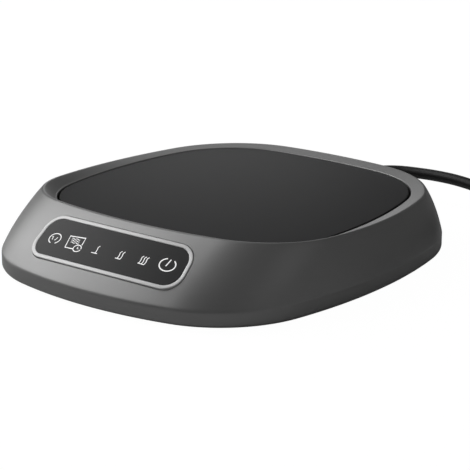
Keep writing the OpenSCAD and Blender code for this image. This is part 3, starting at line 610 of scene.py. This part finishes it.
def sag(x):
    """How far the panel falls away at x, following the front's curve."""
    return -x * x / (2 * PANEL_R)


def prism(name, pts, low, high, matrix=None):
    """Upright block over the outline."""
    verts = [(x, y, z) for z in (low, high) for x, y in pts]
    return mesh_piece(name, verts, tube_faces(2, len(pts)), matrix)


def cut_away(obj, cutter):
    """Cuts the cutter's shape out of the piece, and removes the cutter."""
    mod = obj.modifiers.new("cut", "BOOLEAN")
    mod.operation = "DIFFERENCE"
    mod.solver = "EXACT"
    mod.object = cutter
    baked(obj)
    bpy.data.objects.remove(cutter)


POCKET_GAP = 0.14
CORD_HOLE_R = 3.3

housing = lofted("housing_shell", housing_section(), housing_abs)
tidy_mesh(housing, 35)
cut_away(housing, prism("panel_pocket", lens_pill(BEZEL_W + POCKET_GAP), -9, 6, PANEL))
cut_away(housing, sweep_tube("cord_hole", [Vector((0, y, CORD_Z)) for y in (58, 80)],
                             CORD_HOLE_R, 40))
tidy_mesh(housing, 35, 0.0005)
dress(housing, housing_abs, replaces=("upper_housing",))


# ---------------------------------------------------------------- bosses, screws and feet
def repeat_tree():
    """The same piece set at every point."""
    tree, given, result = new_tree("piece_at_each_point", [
        ("Places", "NodeSocketObject"), ("Piece", "NodeSocketObject"),
        ("Finish", "NodeSocketMaterial")])
    copies = add(tree, "GeometryNodeInstanceOnPoints", inputs={
        "Points": object_mesh(tree, given["Places"]),
        "Instance": object_mesh(tree, given["Piece"])}).outputs[0]
    give_result(tree, copies, given["Finish"], result)
    return tree


repeat = repeat_tree()


def repeated(name, places, piece, material):
    """One object with a copy of the piece at each place, in mm."""
    spots = mesh_object(name + "_places", in_metres(places))
    obj = tree_object(name, repeat, {"Places": spots, "Piece": piece, "Finish": material})
    bpy.data.objects.remove(spots)
    bpy.data.objects.remove(piece)
    return obj


def turned(name, profile, sides=48):
    """A piece of revolution about Z from (radius, height) points; ends at radius 0 are closed."""
    verts, rings = [], []
    for r, z in profile:
        if r < 1e-6:
            rings.append([len(verts)])
            verts.append((0, 0, z))
        else:
            rings.append(list(range(len(verts), len(verts) + sides)))
            verts += [(r * math.cos(a), r * math.sin(a), z)
                      for a in (2 * math.pi * k / sides for k in range(sides))]
    faces = []
    for a, b in zip(rings, rings[1:]):
        for k in range(sides):
            m = (k + 1) % sides
            if len(a) == 1:
                faces.append((a[0], b[m], b[k]))
            elif len(b) == 1:
                faces.append((a[k], a[m], b[0]))
            else:
                faces.append((a[k], a[m], b[m], b[k]))
    return mesh_piece(name, verts, faces)


def node_spots(node):
    """Each loose piece of a CAD node in mm: its middle in x and y, its foot and its top.
    They are sorted, since a set gives them in no fixed order."""
    bm = bmesh.new()
    bm.from_mesh(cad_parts[node].data)
    bmesh.ops.remove_doubles(bm, verts=bm.verts, dist=1e-6)
    left, spots = set(bm.verts), []
    while left:
        heap, seen = [left.pop()], []
        while heap:
            v = heap.pop()
            seen.append(v.co.copy())
            for e in v.link_edges:
                o = e.other_vert(v)
                if o in left:
                    left.remove(o)
                    heap.append(o)
        low = Vector([min(c[i] for c in seen) for i in range(3)])
        high = Vector([max(c[i] for c in seen) for i in range(3)])
        spots.append(((low.x + high.x) / 2 / MM, (low.y + high.y) / 2 / MM,
                      low.z / MM, high.z / MM))
    bm.free()
    return sorted(spots)


def screw_piece(name, head_r, head_h, shank_r, length):
    """Pan head with a cross recess, head down; the shank shows a cut thread."""
    profile = [(0, 0.0), (head_r * 0.75, 0.0), (head_r * 0.93, head_h * 0.18),
               (head_r, head_h * 0.5), (head_r, head_h), (shank_r, head_h)]
    z, pitch, root_r = head_h + 0.2, 0.8, shank_r * 0.86
    while z + pitch < length - 0.6:
        profile += [(root_r, z), (shank_r, z + pitch * 0.5)]
        z += pitch
    profile += [(root_r, z), (0, length)]
    screw = turned(name, profile, 28)
    tidy_mesh(screw, 40)
    w, d = head_r * 0.62, 0.28
    for degrees in (0, 90):
        c, s = math.cos(math.radians(degrees)), math.sin(math.radians(degrees))
        pts = [(x * c - y * s, x * s + y * c) for x, y in ((-w, -d), (w, -d), (w, d), (-w, d))]
        cut_away(screw, prism("cross", pts, -0.5, head_h * 0.55))
    tidy_mesh(screw, 35, 0.0005)
    return screw


boss_spots = node_spots("base_screws")
BOSS_Z, BOSS_R, BOSS_BORE_R, BOSS_L = 2.8, 3.0, 1.11, 11.2
boss = turned("boss", [(BOSS_BORE_R, 0), (BOSS_R, 0), (BOSS_R, BOSS_L), (BOSS_BORE_R, BOSS_L),
                       (BOSS_BORE_R, 0)], 32)
bosses = repeated("screw_bosses", [(x, y, BOSS_Z) for x, y, _, _ in boss_spots], boss, housing_abs)
tidy_mesh(bosses, 35)
dress(bosses, housing_abs, replaces=("upper_housing",))

base_screws = repeated("cover_screws", [(x, y, low) for x, y, low, _ in boss_spots],
                       screw_piece("pan_screw", 2.6, 1.0, 1.09, 7.8), zinc_steel)
dress(base_screws, zinc_steel, replaces=("base_screws",))

foot_profile = [(0, 0.0), (5.1, 0.0), (5.4, 0.03), (5.68, 0.13), (5.88, 0.3), (5.98, 0.5),
                (6.0, 0.8), (6.0, 1.5), (0, 1.5)]
feet = repeated("rubber_feet_moulded", [(x, y, 0.0) for x, y, _, _ in node_spots("rubber_feet")],
                turned("foot", foot_profile, 64), foot_silicone)
tidy_mesh(feet, 40)
dress(feet, foot_silicone, replaces=("rubber_feet",))


# ---------------------------------------------------------------- glass plate
def plate_rings(name, shape, insets):
    """Plate from rings of the plan curve: (inset, height) pairs from the bottom up."""
    base = [Vector(p) for p in plan_outline(shape, FINE)]
    outward = outward_of(base)
    verts = [((p - o * inset).x, (p - o * inset).y, z)
             for inset, z in insets for p, o in zip(base, outward)]
    return mesh_piece(name, verts, tube_faces(len(insets), len(base)))


GLASS_GAP, EDGE_R = 0.7, 0.25
glass = plate_rings("glass_hot_plate", WELL, [(GLASS_GAP, Z_UNDER)] + [
    (GLASS_GAP + EDGE_R - EDGE_R * math.cos(a), Z_GLASS - EDGE_R + EDGE_R * math.sin(a))
    for a in (math.pi / 2 * k / 5 for k in range(6))])
tidy_mesh(glass, 30)
dress(glass, plate_glass, replaces=("glass_plate",))


# ---------------------------------------------------------------- control panel
def frame_tree():
    """Section swept along a closed path, then laid on the slope."""
    tree, given, result = new_tree("section_along_path", [
        ("Path", "NodeSocketObject"), ("Section", "NodeSocketObject"),
        ("Tilt", "NodeSocketRotation"), ("Place", "NodeSocketVector"),
        ("Finish", "NodeSocketMaterial")])
    path, section = (
        add(tree, "GeometryNodeMeshToCurve", inputs={0: object_mesh(tree, given[label])}).outputs[0]
        for label in ("Path", "Section"))
    upright = add(tree, "GeometryNodeSetCurveNormal", {"mode": "Z_UP"}, {"Curve": path}).outputs[0]
    swept = add(tree, "GeometryNodeCurveToMesh", inputs={
        "Curve": upright, "Profile Curve": section, "Fill Caps": False}).outputs[0]
    laid = add(tree, "GeometryNodeTransform", inputs={
        "Geometry": swept, "Rotation": given["Tilt"], "Translation": given["Place"]}).outputs[0]
    give_result(tree, laid, given["Finish"], result)
    return tree


def loop_object(name, pts):
    """A closed line through the points."""
    return mesh_object(name, in_metres(pts), [(i, (i + 1) % len(pts)) for i in range(len(pts))])


# section of the frame, as (across, height): low crown with rounded shoulders, and its foot
bezel_rim = [(-0.66, 0.02), (-0.645, 0.09), (-0.58, 0.145), (-0.42, 0.175), (-0.15, 0.185),
             (0.2, 0.18), (0.42, 0.165), (0.56, 0.125), (0.635, 0.055), (0.66, -0.05),
             (0.66, -1.9), (-0.66, -1.9)]
bezel_path = loop_object("bezel_path", [(x, y, sag(x)) for x, y in lens_pill(BEZEL_W / 2, 20)])
bezel_section = loop_object("bezel_section", [(x, -z, 0) for x, z in bezel_rim])
bezel = tree_object("panel_frame", frame_tree(), {
    "Path": bezel_path, "Section": bezel_section, "Tilt": (SLOPE, 0, 0),
    "Place": PANEL_AT, "Finish": bezel_nickel})
bpy.data.objects.remove(bezel_path)
bpy.data.objects.remove(bezel_section)
tidy_mesh(bezel, 40)
dress(bezel, bezel_nickel, replaces=("control_bezel",))


LENS_GAP = 0.1
LENS_LEVELS = (-1.15, 0.08)


def lens_body():
    """Curved lens plate: columns along its length, eased to the round ends."""
    w, h, r = LENS_W - LENS_GAP, LENS_H - LENS_GAP, LENS_R
    xs = [-w / 2 + r * (1 - math.cos(math.pi / 2 * k / 14)) for k in range(14)]
    xs += [-w / 2 + r + (w - 2 * r) * k / 30 for k in range(31)]
    xs += [-x for x in reversed(xs[:14])]
    rows = [-1 + 2 * k / 16 for k in range(17)]

    def reach(x):
        over = abs(x) - (w / 2 - r)
        return h / 2 if over <= 0 else h / 2 - r + math.sqrt(max(0.0, r * r - over * over))

    verts = [(*bowed(x, reach(x) * v), level + sag(x))
             for level in LENS_LEVELS for x in xs for v in rows]
    m, n = len(rows), len(xs)
    faces = []
    for i in range(n - 1):
        for j in range(m - 1):
            a = i * m + j
            faces.append((a, a + 1, a + m + 1, a + m))
            b = a + n * m
            faces.append((b, b + m, b + m + 1, b + 1))
    rim = [i * m for i in range(n)] + [(n - 1) * m + j for j in range(1, m)]
    rim += [i * m + m - 1 for i in range(n - 2, -1, -1)] + [j for j in range(m - 2, 0, -1)]
    for a, b in zip(rim, rim[1:] + rim[:1]):
        faces.append((a, b, b + n * m, a + n * m))
    return mesh_piece("touch_lens_plate", verts, faces, matrix=PANEL)


lens = lens_body()
tidy_mesh(lens, 35)
soften = lens.modifiers.new("edge", "BEVEL")
soften.width = 0.12 * MM
soften.segments = 3
soften.limit_method = "ANGLE"
soften.angle_limit = math.radians(50)
baked(lens)
dress(lens, lens_acrylic, replaces=("touch_lens",))


# ---------------------------------------------------------------- touch signs, printed strokes
SIGN_LEVELS = (0.05, 0.11)


def stroke(pts, width):
    """A flat line of that width through the points, as a thin solid that follows the lens."""
    n = len(pts)
    left, right = [], []
    for i, p in enumerate(pts):
        a, b = pts[max(i - 1, 0)], pts[min(i + 1, n - 1)]
        d = Vector((b[0] - a[0], b[1] - a[1])).normalized()
        normal = Vector((-d.y, d.x)) * width / 2
        left.append((p[0] + normal.x, p[1] + normal.y))
        right.append((p[0] - normal.x, p[1] - normal.y))
    verts = [(x, y, level + sag(x)) for level in SIGN_LEVELS for x, y in left + right]
    k, faces = 2 * n, []
    for i in range(n - 1):
        j = i + 1
        faces += [(k + i, k + n + i, k + n + j, k + j), (i, j, n + j, n + i),
                  (i, k + i, k + j, j), (n + i, n + j, k + n + j, k + n + i)]
    faces += [(0, n, k + n, k), (n - 1, k + n - 1, k + 2 * n - 1, 2 * n - 1)]
    return verts, faces


def arc_points(cx, cy, r, a0, a1, count=28):
    """Arc of a ring that is printed a fifth wider than tall."""
    angles = [math.radians(a0 + (a1 - a0) * k / count) for k in range(count + 1)]
    return [(cx + r * math.cos(a), cy + 0.8 * r * math.sin(a)) for a in angles]


def heat_wave(x, foot):
    """One rising wave, from its foot to the curled tip."""
    bends = [(-0.1, 0.0), (0.06, 0.55), (0.0, 1.35), (-0.12, 2.05), (0.3, 2.6)]
    line = smooth_path([Vector((x + dx, foot + dy, 0)) for dx, dy in bends], 6)
    return [(p.x, p.y) for p in line]


def ripple(row):
    """One short ripple on the display; the rows lie one below the other."""
    shares = [k / 20 for k in range(21)]
    return [(-15.05 + 0.2 * row + 3.3 * t, 1.22 - 0.7 * row + 0.15 * math.sin(4 * math.pi * t))
            for t in shares]


# each sign's lines as (points, width), in mm from the lens's middle
lines = [
    # timer ring with a numeral one and a rising tick
    (arc_points(-21.47, 0.04, 2.28, -63, 253), 0.3),
    ([(-22.95, 0.35), (-22.55, 0.75), (-22.3, -0.5)], 0.26),
    ([(-21.35, -0.35), (-21.1, -0.6), (-20.6, 0.55)], 0.23),
    # warming display: frame, three short ripples and a small clock over its corner
    ([(-12.45, -2.27), (-15.55, -2.27), (-16.2, 1.9), (-10.1, 2.15), (-9.9, -0.45)], 0.37),
    (ripple(0), 0.21), (ripple(1), 0.21), (ripple(2), 0.21),
    (arc_points(-10.85, -1.8, 1.48, 0, 348), 0.28),
    ([(-10.85, -1.15), (-10.8, -1.9), (-10.25, -1.9)], 0.24)]
# one, two and three heat waves on a foot line: the waves' places, their foot, the line's ends
for places, foot, ends in (((-3.55,), -1.9, (-5.05, -2.75)), ((4.95, 6.05), -1.75, (4.15, 6.1)),
                           ((12.75, 13.75, 14.7), -1.35, (12.35, 14.7))):
    lines += [(heat_wave(x, foot), 0.26) for x in places]
    lines.append(([(x, foot - 0.1) for x in ends], 0.26))
# on/off ring and bar
lines += [(arc_points(21.75, 0.72, 2.65, 113, 417, 40), 0.36),
          ([(21.45, 0.15), (21.95, 2.65)], 0.34)]

sign_verts, sign_faces = [], []
for points, width in lines:
    verts, faces = stroke(points, width)
    sign_faces += [tuple(len(sign_verts) + i for i in f) for f in faces]
    sign_verts += verts
touch_signs = mesh_piece("touch_signs", sign_verts, sign_faces, matrix=PANEL)
tidy_mesh(touch_signs, 30, 0.0001)
dress(touch_signs, sign_ink)


# ---------------------------------------------------------------- strain relief and plug
def sleeve_profile():
    """Ribbed sleeve: flange inside the wall, neck, then five shrinking ribs."""
    free_l, first_r, last_r = 11, 3.15, CORD_D / 2 + 0.55
    wall_y = SLEEVE_END - free_l
    inside = wall_y - 5.5
    pts = [(0, inside), (3.9, inside), (4.0, inside + 0.15), (4.0, inside + 1.6),
           (3.2, inside + 1.6), (3.2, wall_y + 1.6)]
    ribs = 5
    pitch = (free_l - 2.6) / ribs
    for i in range(ribs):
        y = wall_y + 1.7 + i * pitch
        r = first_r + (last_r - first_r) * (i + 0.5) / ribs
        pts += [(r - 0.42, y), (r - 0.42, y + 0.35), (r - 0.12, y + 0.5), (r, y + 0.68),
                (r, y + pitch - 0.2), (r - 0.12, y + pitch - 0.06)]
    pts += [(CORD_D / 2 + 0.42, SLEEVE_END - 0.8), (CORD_D / 2 + 0.3, SLEEVE_END - 0.12),
            (CORD_D / 2 + 0.15, SLEEVE_END), (0, SLEEVE_END)]
    return pts


sleeve = turned("ribbed_sleeve", sleeve_profile(), 56)
sleeve.data.transform(Matrix.Translation((0, 0, CORD_Z * MM))
                      @ Matrix.Rotation(math.radians(-90), 4, "X"))
tidy_mesh(sleeve, 35)
dress(sleeve, moulded_tpe, replaces=("strain_relief",))


def plug_handle(start):
    """Overmoulded grip: tapered tail, soft shoulders, and grip ribs on both broad faces.
    A station is the way along the plug, half the width and half the height there."""
    stations = [(0.0, 2.5, 2.5), (2.0, 2.75, 2.7), (4.0, 3.1, 2.95), (5.4, 3.9, 3.2),
                (6.3, 5.4, 3.5), (7.2, 6.9, 3.75), (8.4, 7.6, 3.92), (10.0, 7.8, 4.0)]
    stations += [(11.5 + 1.1 * k, 7.8, 4.0 - (0.22 if k % 2 else 0.0)) for k in range(10)]
    stations += [(24.0, 7.8, 4.0), (25.4, 7.75, 3.95), (25.85, 7.55, 3.75), (26.0, 7.2, 3.4)]
    sides, verts = 64, []
    for way, half_w, half_h in stations:
        power = 2.0 if half_w < 3.2 else 2.0 + 2.4 * min(1.0, (half_w - 3.2) / 3.5)
        for k in range(sides):
            a = 2 * math.pi * k / sides
            c, s = math.cos(a), math.sin(a)
            verts.append((start.x + half_w * math.copysign(abs(c) ** (2 / power), c), start.y - way,
                          start.z + half_h * math.copysign(abs(s) ** (2 / power), s)))
    return mesh_piece("plug_grip", verts, tube_faces(len(stations), sides))


grip = plug_handle(route[-1])
tidy_mesh(grip, 35)
dress(grip, moulded_tpe, replaces=("plug_body",))


# ---------------------------------------------------------------- pieces that keep their CAD shape
plain = {
    "base_cover": cover_abs, "glass_seal": foot_silicone, "heat_spreader": rolled_aluminium,
    "film_heater": heater_film, "insulation_pad": needle_felt, "heater_retainer": sheet_steel,
    "retainer_screws": zinc_steel, "temperature_sensor": sensor_resin, "thermal_fuse": fuse_ceramic,
    "light_box": white_abs, "touch_springs": spring_bronze, "indicator_leds": led_resin,
    "control_board": solder_mask, "touch_chip": chip_resin, "control_board_screws": zinc_steel,
    "power_board": solder_mask, "power_board_screws": zinc_steel, "power_transistors": chip_resin,
    "smoothing_capacitor": can_aluminium, "power_inductor": chip_resin,
    "wire_connectors": natural_nylon, "buzzer": chip_resin, "ribbon_cable": ribbon_vinyl,
    "heater_leads": lead_silicone, "supply_leads": cord_pvc, "cord_clamp": cover_abs,
    "clamp_screws": zinc_steel, "plug_shell": plug_nickel, "plug_contacts": white_abs}
for node, material in plain.items():
    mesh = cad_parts[node].data
    mesh.materials.clear()
    mesh.materials.append(material)

for obj in plan_objects:
    bpy.data.objects.remove(obj)


# ---------------------------------------------------------------- studio
FLOOR_SIZE, FLOOR_Z = 6.0, -0.0002
FLOOR_GLOW, FLOOR_SHARE = 1.05, 0.94
WORLD_LIGHT, BACKDROP_LIGHT = 0.134, 1.0
WHITE = (1, 1, 1, 1)


def mix_shaders(tree, share, first, second, output):
    """The first shader, with the second over it by that share, on the output node."""
    both = add(tree, "ShaderNodeMixShader", inputs={0: share})
    tree.links.new(first.outputs[0], both.inputs[1])
    tree.links.new(second.outputs[0], both.inputs[2])
    tree.links.new(both.outputs[0], tree.nodes[output].inputs["Surface"])


# white floor: for the camera it glows almost alone, and the part is lit by the floor's own grey
floor = mesh_object("studio_floor", [(x * FLOOR_SIZE, y * FLOOR_SIZE, FLOOR_Z)
                                     for x, y in ((-1, -1), (1, -1), (1, 1), (-1, 1))],
                    faces=[(0, 1, 2, 3)])
floor_mat, tree, shader = new_finish("white_studio_floor")
shader.inputs["Base Color"].default_value = hex_colour("#D8D8D8")
shader.inputs["Roughness"].default_value = 0.9
shader.inputs["Specular IOR Level"].default_value = 0.0
path = add(tree, "ShaderNodeLightPath").outputs
glow = add(tree, "ShaderNodeEmission", inputs={"Color": WHITE, "Strength": FLOOR_GLOW})
seen = add(tree, "ShaderNodeMath", {"operation": "MULTIPLY"},
           {0: path["Is Camera Ray"], 1: FLOOR_SHARE}).outputs[0]
mix_shaders(tree, seen, shader, glow, "Material Output")
floor.data.materials.append(floor_mat)

# dim white world, which the camera sees as plain white
world = bpy.data.worlds.new("studio_world")
scene.world = world
world.use_nodes = True
tree = world.node_tree
ground = tree.nodes["Background"]
ground.inputs["Color"].default_value = WHITE
ground.inputs["Strength"].default_value = WORLD_LIGHT
backdrop = add(tree, "ShaderNodeBackground", inputs={"Color": WHITE, "Strength": BACKDROP_LIGHT})
path = add(tree, "ShaderNodeLightPath").outputs
clear = add(tree, "ShaderNodeMath", {"operation": "MAXIMUM"},
            {0: path["Is Camera Ray"], 1: path["Is Transmission Ray"]}).outputs[0]
mix_shaders(tree, clear, ground, backdrop, "World Output")


def softbox(name, place, aim, width, watts):
    """Square soft box at that place, facing the aim."""
    lamp = bpy.data.lights.new(name, "AREA")
    lamp.shape = "RECTANGLE"
    lamp.size, lamp.size_y = width, width
    lamp.energy = watts
    obj = bpy.data.objects.new(name, lamp)
    obj.location = place
    obj.rotation_euler = (Vector(aim) - Vector(place)).to_track_quat("-Z", "Y").to_euler()
    scene.collection.objects.link(obj)


# soft boxes a metre away: name, height angle, bearing from +X, watts, width
LIT_POINT = (0, 0, 0.01)
for name, up, bearing, watts, width in [
        ("left_key", 26, 180, 0.94, 0.32), ("left_front_key", 26, 205, 1.12, 0.32),
        ("left_high", 44, 180, 0.87, 0.32), ("left_front_high", 44, 205, 0.59, 0.32),
        ("front_left_high", 44, 230, 0.71, 0.32), ("left_top", 62, 184, 0.80, 0.32),
        ("left_low", 8, 180, 0.71, 0.32), ("back_left", 26, 130, 0.25, 0.32),
        ("back_left_low", 8, 130, 0.27, 0.32), ("right_low", 20, 5, 0.26, 1.1),
        ("right_fill", 45, 0, 0.12, 0.5)]:
    e, z = math.radians(up), math.radians(bearing)
    way = (math.cos(e) * math.cos(z), math.cos(e) * math.sin(z), math.sin(e))
    softbox(name, way, LIT_POINT, width, watts)

scene.view_settings.view_transform = "Standard"
